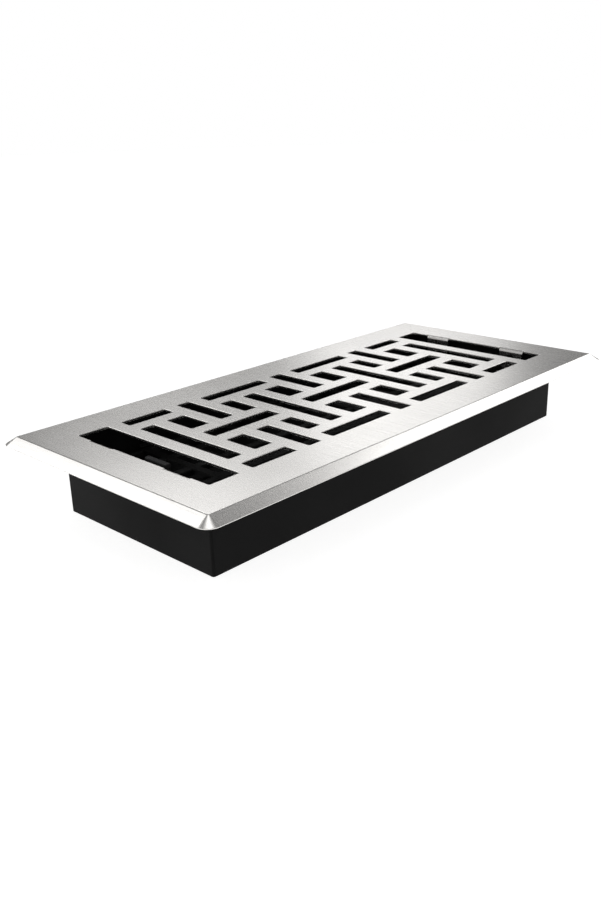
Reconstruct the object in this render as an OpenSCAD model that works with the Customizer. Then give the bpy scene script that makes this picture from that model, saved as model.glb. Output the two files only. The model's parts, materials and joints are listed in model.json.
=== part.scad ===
// Floor vent grate: a stamped steel faceplate over a black moulded damper box.
// Z = 0 is the foot of the box, X runs across the grate and Y runs along it.

/* [Damper box] */
// Length of the box, which drops into the duct opening
box_l = 251.3; // [244:0.1:262]
// Width of the box
box_w = 96; // [92:0.1:104]
// Height of the box from its foot to its top edge
box_h = 34.5; // [33:0.1:42]
// Thickness of the end walls and of the long walls above the ledge
wall_t = 2; // [1.6:0.1:2.4]
// Thickness of the long walls below the ledge, which carry the blades
bearing_wall_t = 4; // [3.6:0.1:5]
// Radius of the upright outer corners
box_corner_r = 1; // [0.5:0.1:2]
// Length of the fixed shelf that closes each end beyond the last blade
shelf_l = 14.5; // [12:0.1:16]
// Thickness of the end shelves
shelf_t = 1.8; // [1.2:0.1:3]
// Length of each small nub that keeps the grid down
nub_l = 10; // [6:0.5:20]
// How far each nub stands out of the wall
nub_out = 0.9; // [0.6:0.1:1.4]
// Height of each nub
nub_h = 2; // [1.2:0.1:3]

/* [Faceplate] */
// Thickness of the steel sheet
sheet_t = 1.2; // [0.8:0.1:1.6]
// How far the rim reaches past each end of the box
overhang_l = 18.85; // [14:0.05:26]
// How far the rim reaches past each side of the box
overhang_w = 20.95; // [14:0.05:28]
// Width of the bevel seen from above
bevel_w = 5.3; // [4:0.1:5.6]
// Drop of the bevel
bevel_h = 3.1; // [2.4:0.1:4.5]
// Height of the upright sheet edge below the bevel
edge_h = 0.4; // [0.2:0.1:0.8]
// Radius of the rim's corners seen from above
rim_corner_r = 6; // [6:0.1:9]
// Gap between the sheet's underside and the top edge of the box
seat_gap = 0.1; // [0:0.05:0.3]

/* [Slot pattern] */
// Width of the bars between the slots
bar_w = 7.3; // [6:0.1:8]
// Width of the middle slots
mid_slot_w = 7.95; // [5:0.05:9]
// Width of the slots in the two side rows
side_slot_w = 7; // [5:0.1:8.5]
// Width of the wide slots as a multiple of the narrow ones
wide_ratio = 1.33; // [1:0.01:1.6]
// Width of the two end windows along the grate
window_w = 15.5; // [14.5:0.1:17]
// Border of sheet between the box's inner wall and the slots
slot_border = 2.6; // [2.4:0.1:3.2]
// Radius of the slots' corners
slot_corner_r = 0.6; // [0.3:0.1:1.5]

/* [Ears and pegs] */
// Width of each bent-down ear
ear_w = 14.9; // [11:0.1:18]
// Distance between the two ears of one end
ear_spacing = 50.2; // [42:0.1:60]
// Depth of an ear's tip below the top face
ear_drop = 11.5; // [10:0.1:13]
// Inner radius of the ear's bend
ear_bend_r = 0.8; // [0.4:0.1:1]
// Size of the chamfer on the ear's lower corners
ear_chamfer = 2.6; // [1:0.1:4]
// Width of the relief cut on each side of an ear
ear_relief = 0.5; // [0.3:0.1:1]
// How far an ear's face stands inside the window's outer edge
ear_inset = 0.6; // [0.2:0.1:0.7]
// Diameter of the hole in each ear
ear_hole_d = 5.3; // [4.5:0.1:6]
// Depth of the hole's centre below the top face
ear_hole_drop = 6; // [5.5:0.1:7]
// Clearance of the snap peg all round in the ear's hole
peg_gap = 0.15; // [0.05:0.05:0.4]
// How far a snap peg stands proud of the ear
peg_proud = 0.6; // [0.2:0.1:1]
// Diameter of the shoulder behind each ear
shoulder_d = 8.5; // [7:0.1:10]
// Gap between an ear and its shoulder
shoulder_gap = 0.15; // [0.05:0.05:0.3]

/* [Louvre blades] */
// Number of blades
blade_count = 14; // [12:1:16]
// Thickness of a blade at its middle
blade_t = 1.6; // [1.2:0.1:2]
// Thickness of a blade at its long edges
blade_edge_t = 0.9; // [0.6:0.1:1.2]
// Gap between neighbouring blades when they are shut
blade_gap = 0.4; // [0.3:0.1:1]
// Gap between a blade's lower edge and the foot of the box when it is open
foot_gap = 0.7; // [0.3:0.1:2]
// Gap between a blade's end and the wall
blade_end_gap = 0.4; // [0.2:0.1:1]
// Diameter of the round hub along the blade's axis
hub_d = 3.6; // [2.8:0.1:4.4]
// Diameter of the journals at the blade's ends
journal_d = 3.1; // [2.4:0.1:3.6]
// Length of a journal inside its wall
journal_l = 2.2; // [1.6:0.1:2.6]
// Clearance all round a journal in its bearing hole
bearing_gap = 0.05; // [0.02:0.01:0.1]
// Distance of the crank pin from the blade's axis
crank_r = 5; // [4.4:0.1:5.4]
// Width of a crank arm
crank_w = 2.6; // [2:0.1:3.2]
// Thickness of a crank arm
crank_t = 1.5; // [1:0.1:2]
// Diameter of the round eye at the end of a crank arm
eye_d = 3.2; // [2.8:0.1:3.6]
// Diameter of the crank pin
pin_d = 1.8; // [1.4:0.1:2]

/* [Damper grid] */
// Number of long bars between the side rails
long_bar_count = 4; // [2:2:6]
// Width of the grid's bars
grid_bar_w = 4.7; // [3:0.1:6]
// Width of the side rails
side_rail_w = 3.3; // [2.6:0.1:5]
// Width of the strip left at each end, outside the lever's opening
end_strip_w = 2.2; // [1.6:0.1:3]
// Height of the grid
grid_h = 2.8; // [2:0.1:4]
// Chamfer on the upper edges of the grid's bars
grid_chamfer = 0.5; // [0.2:0.1:0.8]
// Gap between the grid's edge and the box walls
grid_gap = 0.2; // [0.1:0.05:0.5]

/* [Link bar and lever] */
// Thickness of the link bar
link_t = 2.4; // [1.8:0.1:3]
// Gap on each side of the link bar between the crank arms
link_side_gap = 0.5; // [0.3:0.1:0.8]
// Gap above and below the link bar
link_gap = 0.4; // [0.2:0.1:0.6]
// Clearance on each side of a crank pin in its slot
pin_gap = 0.35; // [0.3:0.05:0.6]
// Length of link bar past the last crank pin
link_tail = 3; // [2:0.1:5]
// Width of the lever's stem across the grate
stem_w = 6; // [4.5:0.1:9]
// Thickness of the lever's stem along the grate
stem_t = 2.5; // [2:0.1:3.5]
// Width of the finger tab on top of the lever
tab_w = 14; // [10:0.1:18]
// Thickness of the finger tab
tab_t = 3; // [2.5:0.1:4]
// Height of the finger tab
tab_h = 3; // [2:0.1:5]
// Depth of the tab's top below the top face
tab_drop = 3.5; // [2.5:0.1:6]
// Gap between the tab and the window's outer edge when the blades are shut
tab_end_gap = 0.7; // [0.4:0.1:1.5]
// Clearance between the lever's fork and the link bar
fork_gap = 0.1; // [0.05:0.05:0.2]
// Depth of the notch in the link bar that holds the lever
fork_notch = 1.6; // [1:0.1:2]

/* [Hidden] */
// How far a cutting shape runs past the face it cuts
past = 1;
// How far a joined shape reaches into its neighbour
bite = 0.3;
// Facets of a round shape
$fn = 48;
// Steps in the rounded corner of a slot or wall
corner_steps = 5;

// Box cavities
cavity_l = box_l - 2 * wall_t;
cavity_w = box_w - 2 * wall_t;
throat_w = box_w - 2 * bearing_wall_t;

// Heights, from the blades up to the faceplate
pitch = (cavity_l - 2 * shelf_l) / blade_count;
chord = pitch - blade_gap;
axis_z = foot_gap + chord / 2;
ledge_z = axis_z + chord / 2 + link_gap;
grid_z = ledge_z + seat_gap;
grid_top_z = grid_z + grid_h;
plate_under_z = box_h + seat_gap;
plate_top_z = plate_under_z + sheet_t;

// Faceplate outline
plate_half_l = box_l / 2 + overhang_l;
plate_half_w = box_w / 2 + overhang_w;

// Levels of the slot pattern across the grate, from the middle outwards
pattern_half_w = cavity_w / 2 - slot_border;
x_mid = mid_slot_w / 2;
x_in = x_mid + bar_w;
x_side = pattern_half_w - side_slot_w;
x_out = x_side - bar_w;

// Levels of the slot pattern along the grate, from the middle outwards
window_end = cavity_l / 2 - slot_border;
window_start = window_end - window_w;
half_bars = 7;
half_narrow_slots = 4;
half_wide_slots = 2;
slot_room = window_start - half_bars * bar_w - mid_slot_w / 2;
slot_w = slot_room / (half_narrow_slots + half_wide_slots * wide_ratio);
wide_w = slot_w * wide_ratio;
y_1 = mid_slot_w / 2;
y_2 = y_1 + bar_w;
y_3 = y_2 + wide_w;
y_4 = y_3 + bar_w;
y_5 = y_4 + slot_w;
y_6 = y_5 + bar_w;
y_7 = y_6 + slot_w;
y_8 = y_7 + bar_w;
y_9 = y_8 + slot_w;
y_10 = y_9 + bar_w;
y_11 = y_10 + wide_w;
y_12 = y_11 + bar_w;
y_13 = y_12 + slot_w;

// Ears and pegs
ear_y = window_end - ear_inset;
bend_y = ear_y + sheet_t + ear_bend_r;
bend_z = plate_under_z - ear_bend_r;
ear_tip_z = plate_top_z - ear_drop;
peg_z = plate_top_z - ear_hole_drop;
peg_d = ear_hole_d - 2 * peg_gap;

// Blades, measured from their own axis
blade_l = throat_w - 2 * blade_end_gap;
journal_span = throat_w + 2 * journal_l;
notch_w = link_t + 2 * link_side_gap;
pin_l = notch_w + crank_t;
swing = 90;
travel = 2 * crank_r * sin(swing / 2);

// Link bar and lever
link_z = axis_z + hub_d / 2 + link_gap;
link_top_z = ledge_z - link_gap;
pin_slot_w = pin_d + 2 * pin_gap;
pin_slot_top_z = axis_z + crank_r + pin_d / 2 + pin_gap;
lever_y = -(window_end - tab_end_gap - tab_t / 2) + travel;
link_near_y = lever_y - stem_t / 2 - fork_gap - bite;
tab_top_z = plate_top_z - tab_drop;

// Grid
grid_l = cavity_l - 2 * grid_gap;
grid_w = cavity_w - 2 * grid_gap;
long_pitch = (grid_w - 2 * side_rail_w + grid_bar_w) / (long_bar_count + 1);
end_rail_w = grid_l / 2 - blade_y(blade_count + 1) + grid_bar_w / 2;

function two_digits(i) = str(i < 10 ? "0" : "", i);
function louvre_name(i) = str("louvre_", two_digits(i));

// Place of a blade's axis along the grate, counted from the lever's end
function blade_y(i) = pitch * (i - (blade_count + 1) / 2);

// Place of a blade's crank pin along the grate when the blades are open
function pin_y(i) = blade_y(i) + crank_r * sin(swing / 2);

// Quarter of a circle about a corner, as points
function corner(cx, cy, r, start) = [
    for (k = [0:corner_steps])
        let (a = start + 90 * k / corner_steps)
            [cx + r * cos(a), cy + r * sin(a)]
];

// Rectangle with rounded corners, as points
function rounded(x0, x1, y0, y1, r) = concat(
    corner(x1 - r, y1 - r, r, 0),
    corner(x0 + r, y1 - r, r, 90),
    corner(x0 + r, y0 + r, r, 180),
    corner(x1 - r, y0 + r, r, 270)
);

// Upright block with rounded corners, centred on Z
module rounded_block(l, w, z0, z1, r) {
    translate([0, 0, z0])
        linear_extrude(z1 - z0)
            polygon(rounded(-w / 2, w / 2, -l / 2, l / 2, r));
}

// Plain block between two corners
module block(x0, x1, y0, y1, z0, z1) {
    translate([x0, y0, z0])
        cube([x1 - x0, y1 - y0, z1 - z0]);
}

// Section drawn as [across, up] points and run along Y
module run_along_y(points, l) {
    rotate([90, 0, 0])
        linear_extrude(l, center = true)
            polygon(points);
}

// Section drawn as [along, up] points and run along X
module run_along_x(points, l) {
    rotate([90, 0, 90])
        linear_extrude(l, center = true)
            polygon(points);
}

// Round bar along X, centred on the origin
module bar_along_x(d, l) {
    rotate([0, 90, 0])
        cylinder(d = d, h = l, center = true);
}

// Section of a plate with bevelled sides: half width at its foot, then its heights and bevel
function bevel_section(half, foot_z, knee_z, top_z, run) = [
    [-half, foot_z],
    [half, foot_z],
    [half, knee_z],
    [half - run, top_z],
    [-half + run, top_z],
    [-half, knee_z]
];

// Solid with a bevel all round whose corners are true cones
module bevelled_solid(half_l, half_w, foot_z, knee_z, top_z, run, r) {
    run_along_y(bevel_section(half_w, foot_z, knee_z, top_z, run), 2 * (half_l - r));
    run_along_x(bevel_section(half_l, foot_z, knee_z, top_z, run), 2 * (half_w - r));
    for (sx = [-1, 1])
        for (sy = [-1, 1])
            translate([sx * (half_w - r), sy * (half_l - r), 0]) {
                translate([0, 0, knee_z])
                    cylinder(r1 = r, r2 = r - run, h = top_z - knee_z);
                translate([0, 0, foot_z])
                    cylinder(r = r, h = knee_z - foot_z);
            }
}

// Sheet with its bevelled rim, before the slots are cut
module bevelled_sheet() {
    knee_z = plate_top_z - bevel_h;
    foot_z = knee_z - edge_h;
    slope = bevel_h / bevel_w;
    fold = sheet_t * tan(atan(slope) / 2);
    under_drop = plate_under_z - foot_z;
    under_run = under_drop / slope;
    under_in = bevel_w + fold - under_run;
    past_run = past / slope;
    difference() {
        bevelled_solid(plate_half_l, plate_half_w, foot_z, knee_z, plate_top_z, bevel_w, rim_corner_r);
        bevelled_solid(
            plate_half_l - under_in + past_run,
            plate_half_w - under_in + past_run,
            foot_z - 2 * past,
            foot_z - past,
            plate_under_z,
            under_run + past_run,
            rim_corner_r - under_in + past_run
        );
    }
}

// Cut through the sheet for one slot
module slot(x0, x1, y0, y1) {
    translate([0, 0, plate_under_z - past])
        linear_extrude(sheet_t + 2 * past)
            polygon(rounded(x0, x1, y0, y1, slot_corner_r));
}

// A slot that crosses the middle line, at both ends of the grate
module slot_pair(half_w, y0, y1) {
    slot(-half_w, half_w, y0, y1);
    slot(-half_w, half_w, -y1, -y0);
}

// A slot off the middle line, in all four quarters of the grate
module slot_four(x0, x1, y0, y1) {
    for (s = [-1, 1]) {
        slot(min(s * x0, s * x1), max(s * x0, s * x1), y0, y1);
        slot(min(s * x0, s * x1), max(s * x0, s * x1), -y1, -y0);
    }
}

// The woven pattern of slots
module slot_pattern() {
    slot_pair(pattern_half_w, window_start, window_end);
    slot_pair(x_out, y_4, y_5);
    slot_pair(x_out, y_12, y_13);
    slot_pair(x_mid, y_6, y_11);
    slot(-x_mid, x_mid, -y_3, y_3);
    slot(x_in, pattern_half_w, -y_1, y_1);
    slot(-pattern_half_w, -x_in, -y_1, y_1);
    slot_four(x_in, pattern_half_w, y_8, y_9);
    slot_four(x_in, x_out, y_2, y_3);
    slot_four(x_in, x_out, y_6, y_7);
    slot_four(x_in, x_out, y_10, y_11);
    slot_four(x_side, pattern_half_w, y_2, y_7);
    slot_four(x_side, pattern_half_w, y_10, y_13);
}

// Room cut out of the window's edge for one ear's bend
module ear_room() {
    half = ear_w / 2 + ear_relief;
    block(-half, half, window_end - bite, bend_y, plate_under_z - past, plate_top_z + past);
}

// One ear at the far end, on the middle line: a quarter bend and a flat tab with a hole
module ear() {
    intersection() {
        translate([0, bend_y, bend_z])
            difference() {
                bar_along_x(2 * (ear_bend_r + sheet_t), ear_w);
                bar_along_x(2 * ear_bend_r, ear_w + past);
            }
        block(-ear_w, ear_w, ear_y - past, bend_y, bend_z, plate_top_z + past);
    }
    difference() {
        translate([0, ear_y + sheet_t, 0])
            rotate([90, 0, 0])
                linear_extrude(sheet_t)
                    polygon([
                        [-ear_w / 2, bend_z],
                        [-ear_w / 2, ear_tip_z + ear_chamfer],
                        [-ear_w / 2 + ear_chamfer, ear_tip_z],
                        [ear_w / 2 - ear_chamfer, ear_tip_z],
                        [ear_w / 2, ear_tip_z + ear_chamfer],
                        [ear_w / 2, bend_z]
                    ]);
        translate([0, ear_y - past, peg_z])
            rotate([-90, 0, 0])
                cylinder(d = ear_hole_d, h = sheet_t + 2 * past);
    }
}

// Repeats a far-end feature at the four places of the ears
module at_ears() {
    for (turn = [0, 180])
        for (s = [-1, 1])
            rotate([0, 0, turn])
                translate([s * ear_spacing / 2, 0, 0])
                    children();
}

module faceplate() {
    color([0.78, 0.77, 0.75]) {
        difference() {
            bevelled_sheet();
            slot_pattern();
            at_ears() ear_room();
        }
        at_ears() ear();
    }
}

// Shoulder and snap peg on the far end wall, on the middle line
module snap_peg() {
    shoulder_y = ear_y + sheet_t + shoulder_gap;
    wall_y = cavity_l / 2 + bite;
    translate([0, 0, peg_z])
        rotate([-90, 0, 0]) {
            translate([0, 0, shoulder_y])
                cylinder(d = shoulder_d, h = wall_y - shoulder_y);
            translate([0, 0, ear_y - peg_proud])
                cylinder(d = peg_d, h = wall_y - ear_y + peg_proud);
        }
}

// Wedge-shaped nub on a long wall, just above the grid
module grid_nub() {
    wall_x = cavity_w / 2;
    z0 = grid_top_z + seat_gap;
    run_along_y([
        [wall_x + bite, z0],
        [wall_x + bite, z0 + nub_h],
        [wall_x, z0 + nub_h],
        [wall_x - nub_out, z0 + nub_h / 4],
        [wall_x - nub_out, z0]
    ], nub_l);
}

// Fixed shelf that closes the far end beyond the last blade
module end_shelf() {
    block(
        -throat_w / 2 - bite,
        throat_w / 2 + bite,
        cavity_l / 2 - shelf_l + blade_gap / 2,
        cavity_l / 2 + bite,
        axis_z - shelf_t / 2,
        axis_z + shelf_t / 2
    );
}

module damper_box() {
    hole_span = journal_span + 2 * blade_end_gap;
    color([0.05, 0.05, 0.05]) {
        difference() {
            rounded_block(box_l, box_w, 0, box_h, box_corner_r);
            rounded_block(cavity_l, cavity_w, ledge_z, box_h + past, box_corner_r / 2);
            rounded_block(cavity_l, throat_w, -past, ledge_z + past, box_corner_r / 2);
            for (i = [1:blade_count])
                translate([0, blade_y(i), axis_z])
                    bar_along_x(journal_d + 2 * bearing_gap, hole_span);
        }
        for (turn = [0, 180])
            rotate([0, 0, turn]) {
                end_shelf();
                for (k = [-1:1])
                    translate([0, k * cavity_l / 3, 0])
                        grid_nub();
            }
        at_ears() snap_peg();
    }
}

// Section of a grid bar with its upper edges chamfered
function grid_section(w) = [
    [-w / 2, grid_z],
    [w / 2, grid_z],
    [w / 2, grid_top_z - grid_chamfer],
    [w / 2 - grid_chamfer, grid_top_z],
    [-w / 2 + grid_chamfer, grid_top_z],
    [-w / 2, grid_top_z - grid_chamfer]
];

module damper_grid() {
    rail_x = (grid_w - side_rail_w) / 2;
    rail_y = (grid_l - end_rail_w) / 2;
    opening_w = long_pitch - grid_bar_w;
    opening_y = blade_y(0) + grid_bar_w / 2 + bite;
    color([0.07, 0.07, 0.07])
        difference() {
            union() {
                for (s = [-1, 1]) {
                    translate([s * rail_x, 0, 0])
                        run_along_y(grid_section(side_rail_w), grid_l);
                    translate([0, s * rail_y, 0])
                        run_along_x(grid_section(end_rail_w), grid_w);
                }
                for (k = [1:long_bar_count])
                    translate([long_pitch * (k - (long_bar_count + 1) / 2), 0, 0])
                        run_along_y(grid_section(grid_bar_w), grid_l - end_rail_w);
                for (i = [1:blade_count])
                    translate([0, blade_y(i), 0])
                        run_along_x(grid_section(grid_bar_w), grid_w - side_rail_w);
            }
            block(
                -opening_w / 2,
                opening_w / 2,
                -grid_l / 2 + end_strip_w,
                opening_y,
                grid_z - past,
                grid_top_z + past
            );
        }
}

// Section of half a blade, from its axis to one long edge
function half_blade(s) = [
    [-blade_t / 2, 0],
    [-blade_edge_t / 2, s * (chord / 2 - blade_edge_t / 2)],
    [-blade_edge_t / 4, s * chord / 2],
    [blade_edge_t / 4, s * chord / 2],
    [blade_edge_t / 2, s * (chord / 2 - blade_edge_t / 2)],
    [blade_t / 2, 0]
];

// Crank at the middle of a blade: two arms and the pin between them
module crank() {
    rotate([-swing / 2, 0, 0]) {
        for (s = [-1, 1])
            translate([s * (notch_w + crank_t) / 2, 0, 0]) {
                block(-crank_t / 2, crank_t / 2, -crank_w / 2, crank_w / 2, 0, crank_r);
                translate([0, 0, crank_r])
                    bar_along_x(eye_d, crank_t);
            }
        translate([0, 0, crank_r])
            bar_along_x(pin_d, pin_l);
    }
}

// One blade, standing open, with its hub, journals and crank
module louvre(i) {
    wing_l = (blade_l - notch_w) / 2;
    color([0.06, 0.06, 0.06])
        translate([0, blade_y(i), axis_z]) {
            run_along_x(half_blade(-1), blade_l);
            for (s = [-1, 1])
                translate([s * (notch_w + wing_l) / 2, 0, 0])
                    run_along_x(half_blade(1), wing_l);
            bar_along_x(hub_d, blade_l);
            bar_along_x(journal_d, journal_span);
            crank();
        }
}

module link_bar() {
    link_far_y = pin_y(blade_count) + pin_slot_w / 2 + link_tail;
    color([0.06, 0.06, 0.06])
        difference() {
            block(-link_t / 2, link_t / 2, link_near_y, link_far_y, link_z, link_top_z);
            for (i = [1:blade_count])
                translate([0, pin_y(i), 0])
                    block(-link_t, link_t, -pin_slot_w / 2, pin_slot_w / 2, link_z - past, pin_slot_top_z);
            block(
                -link_t,
                link_t,
                lever_y - stem_t / 2 - fork_gap,
                lever_y + stem_t / 2 + fork_gap,
                link_top_z - fork_notch,
                link_top_z + past
            );
        }
}

module thumb_lever() {
    fork_half = link_t / 2 + fork_gap;
    saddle_z = link_top_z - fork_notch + fork_gap;
    tab_z = tab_top_z - tab_h;
    round_off = tab_t / 4;
    color([0.09, 0.09, 0.09])
        translate([0, lever_y, 0]) {
            difference() {
                block(-stem_w / 2, stem_w / 2, -stem_t / 2, stem_t / 2, link_z, tab_z + bite);
                block(-fork_half, fork_half, -stem_t, stem_t, link_z - past, saddle_z);
            }
            run_along_x([
                [-tab_t / 2, tab_z],
                [tab_t / 2, tab_z],
                [tab_t / 2, tab_top_z - round_off],
                [tab_t / 2 - round_off, tab_top_z],
                [-tab_t / 2 + round_off, tab_top_z],
                [-tab_t / 2, tab_top_z - round_off]
            ], tab_w);
        }
}

faceplate();
damper_box();
damper_grid();
link_bar();
thumb_lever();
for (i = [1:blade_count])
    louvre(i);
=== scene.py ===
"""Dresses the packed floor vent grate: a plated steel faceplate over a black moulded damper box."""

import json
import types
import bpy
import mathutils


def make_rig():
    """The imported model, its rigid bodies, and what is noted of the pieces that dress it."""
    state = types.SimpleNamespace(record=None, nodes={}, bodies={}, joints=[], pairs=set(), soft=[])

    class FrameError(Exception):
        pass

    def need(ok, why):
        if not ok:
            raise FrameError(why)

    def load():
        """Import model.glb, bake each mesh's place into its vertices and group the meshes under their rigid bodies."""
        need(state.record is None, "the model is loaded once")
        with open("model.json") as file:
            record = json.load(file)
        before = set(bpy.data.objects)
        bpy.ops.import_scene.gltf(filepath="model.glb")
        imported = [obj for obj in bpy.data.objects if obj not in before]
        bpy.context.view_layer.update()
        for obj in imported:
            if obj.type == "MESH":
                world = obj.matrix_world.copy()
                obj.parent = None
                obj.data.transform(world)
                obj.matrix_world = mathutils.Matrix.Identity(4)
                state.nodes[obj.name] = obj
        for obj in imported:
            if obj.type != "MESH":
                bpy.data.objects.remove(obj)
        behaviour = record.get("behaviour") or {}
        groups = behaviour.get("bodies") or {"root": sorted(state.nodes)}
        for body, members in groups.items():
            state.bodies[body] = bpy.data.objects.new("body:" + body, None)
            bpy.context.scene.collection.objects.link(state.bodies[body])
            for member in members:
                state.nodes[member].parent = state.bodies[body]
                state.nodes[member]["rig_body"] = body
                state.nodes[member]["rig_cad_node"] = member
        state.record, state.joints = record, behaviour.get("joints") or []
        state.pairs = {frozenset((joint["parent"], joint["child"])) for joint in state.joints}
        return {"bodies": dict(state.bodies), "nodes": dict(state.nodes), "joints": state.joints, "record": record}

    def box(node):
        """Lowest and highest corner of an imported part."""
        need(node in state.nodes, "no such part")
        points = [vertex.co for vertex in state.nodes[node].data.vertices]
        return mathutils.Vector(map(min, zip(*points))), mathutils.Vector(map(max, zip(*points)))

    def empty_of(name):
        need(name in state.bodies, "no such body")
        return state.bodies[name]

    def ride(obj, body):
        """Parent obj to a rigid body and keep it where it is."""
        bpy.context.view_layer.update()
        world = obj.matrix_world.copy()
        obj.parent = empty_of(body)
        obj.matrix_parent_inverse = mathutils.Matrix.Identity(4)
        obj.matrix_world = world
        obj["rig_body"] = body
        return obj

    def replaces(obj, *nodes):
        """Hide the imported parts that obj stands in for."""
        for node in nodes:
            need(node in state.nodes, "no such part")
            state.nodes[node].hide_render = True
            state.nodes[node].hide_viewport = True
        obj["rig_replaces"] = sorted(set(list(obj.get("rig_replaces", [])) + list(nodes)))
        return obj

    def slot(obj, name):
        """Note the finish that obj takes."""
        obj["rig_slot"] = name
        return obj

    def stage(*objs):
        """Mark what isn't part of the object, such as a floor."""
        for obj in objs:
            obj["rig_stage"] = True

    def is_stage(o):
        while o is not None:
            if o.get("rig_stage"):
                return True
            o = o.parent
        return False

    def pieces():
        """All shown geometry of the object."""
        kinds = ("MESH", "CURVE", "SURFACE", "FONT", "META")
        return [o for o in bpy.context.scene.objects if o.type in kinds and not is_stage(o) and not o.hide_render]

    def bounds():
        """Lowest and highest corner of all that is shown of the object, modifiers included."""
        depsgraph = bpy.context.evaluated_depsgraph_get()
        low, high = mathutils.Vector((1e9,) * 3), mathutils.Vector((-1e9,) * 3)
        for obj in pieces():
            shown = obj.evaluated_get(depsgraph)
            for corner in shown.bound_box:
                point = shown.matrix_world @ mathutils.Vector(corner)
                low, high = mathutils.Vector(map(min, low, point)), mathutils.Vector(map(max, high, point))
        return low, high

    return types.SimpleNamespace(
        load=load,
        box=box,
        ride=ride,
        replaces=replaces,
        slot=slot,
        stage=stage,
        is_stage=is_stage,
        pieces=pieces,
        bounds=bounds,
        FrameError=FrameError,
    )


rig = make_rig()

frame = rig.load()

import json
import math

import bpy
import numpy as np
from mathutils import Vector
from mathutils.geometry import delaunay_2d_cdt

bl_info = {
    "name": "Floor Vent Grate",
    "version": (1, 0, 0),
    "blender": (4, 5, 0),
    "location": "3D View > Sidebar > Floor Vent",
    "description": "Builds the faceplate and lever of a floor vent grate and dresses its damper box",
    "category": "Object",
}

MM = 0.001
CAD_LOW, CAD_HIGH = (np.array(corner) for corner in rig.bounds())
PLATE_LOW, PLATE_HIGH = (np.array(corner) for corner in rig.box("faceplate"))
BOX_LOW, BOX_HIGH = (np.array(corner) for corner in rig.box("damper_box"))
LEVER_LOW, LEVER_HIGH = (np.array(corner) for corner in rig.box("thumb_lever"))
LOUVRES = sorted(name for name in frame["nodes"] if name.startswith("louvre_"))


# Properties


def length(name, description, default_mm, high=400.0):
    """A length property that is shown in the scene's units and kept in metres."""
    return bpy.props.FloatProperty(name=name, description=description, default=default_mm * MM,
                                   min=0.0, max=high * MM, unit="LENGTH", subtype="DISTANCE", precision=5)


def share(name, description, default, high=1.0):
    """A plain factor."""
    return bpy.props.FloatProperty(name=name, description=description, default=default,
                                   min=0.0, max=high, subtype="FACTOR")


def colour(name, description, default):
    """A linear colour."""
    return bpy.props.FloatVectorProperty(name=name, description=description, default=default,
                                         min=0.0, max=1.0, size=3, subtype="COLOR")


class PlateSizes(bpy.types.PropertyGroup):
    """Sizes of the stamped faceplate."""
    sheet: length("Sheet", "Thickness of the steel sheet", 1.2)
    bevel_run: length("Bevel run", "Width of the bevel seen from above", 5.3)
    bevel_drop: length("Bevel drop", "Drop of the bevel", 3.1)
    rim_drop: length("Rim drop", "Depth of the rim's foot below the face", 3.5)
    fold_radius: length("Fold radius", "Outer radius of the fold between face and bevel", 1.5)
    rim_corner: length("Rim corner", "Radius of the rim's corners seen from above", 6.0)
    edge_round: length("Edge rounding", "Rounding of the rim's outer edge", 0.2)
    roll: length("Punch roll", "Radius that punching and polishing leave along the slots", 0.35)
    burr_round: length("Burr rounding", "Rounding of the slots' lower edges", 0.12)
    slot_corner: length("Slot corner", "Radius of the slots' corners", 0.6)
    bar: length("Bar", "Width of the bars between the slots", 7.3)
    mid_slot: length("Middle slot", "Width of the middle slots", 7.95)
    side_slot: length("Side slot", "Width of the slots in the two side rows", 7.0)
    window: length("Window", "Width of the two end windows along the grate", 15.5)
    pattern_half_w: length("Pattern half width", "From the middle line to the slots' outer ends", 43.4)
    pattern_half_l: length("Pattern half length", "From the middle to the windows' outer edges", 121.05)
    wide_ratio: bpy.props.FloatProperty(name="Wide slots", default=1.33, min=1.0, max=2.0,
                                        description="Width of the wide slots over that of the narrow ones")
    ear_w: length("Ear width", "Width of each bent ear", 14.9)
    ear_spacing: length("Ear spacing", "Distance between the two ears of one end", 50.2)
    ear_bend: length("Ear bend", "Inner radius of the ear's bend", 0.8)
    ear_drop: length("Ear drop", "Depth of an ear's tip below the face", 11.5)
    ear_chamfer: length("Ear chamfer", "Size of the cut-off lower corners of an ear", 2.6)
    ear_relief: length("Ear relief", "Width of the relief cut beside an ear", 0.5)
    ear_inset: length("Ear inset", "How far an ear's face stands inside the window", 0.6)
    ear_hole: length("Ear hole", "Diameter of the hole in each ear", 5.3)
    ear_hole_drop: length("Ear hole drop", "Depth of the hole's centre below the face", 6.0)


class LeverSizes(bpy.types.PropertyGroup):
    """Sizes of the thumb lever's moulding."""
    tab_h: length("Tab height", "Height of the finger tab", 3.0)
    tab_round: length("Tab rounding", "Rounding of the finger tab's edges", 0.7)
    stem_w: length("Stem width", "Width of the stem across the grate", 6.0)
    stem_t: length("Stem thickness", "Thickness of the stem along the grate", 2.5)
    fork_w: length("Fork width", "Width of the fork's slot, which straddles the link bar", 2.6)
    fork_h: length("Fork height", "Height of the fork's slot", 3.89)
    groove: length("Groove", "Depth of the grooves between the grip ribs", 0.22)
    ribs: bpy.props.IntProperty(name="Ribs", description="Number of grip ribs on the tab", default=9, min=1, max=20)


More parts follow.
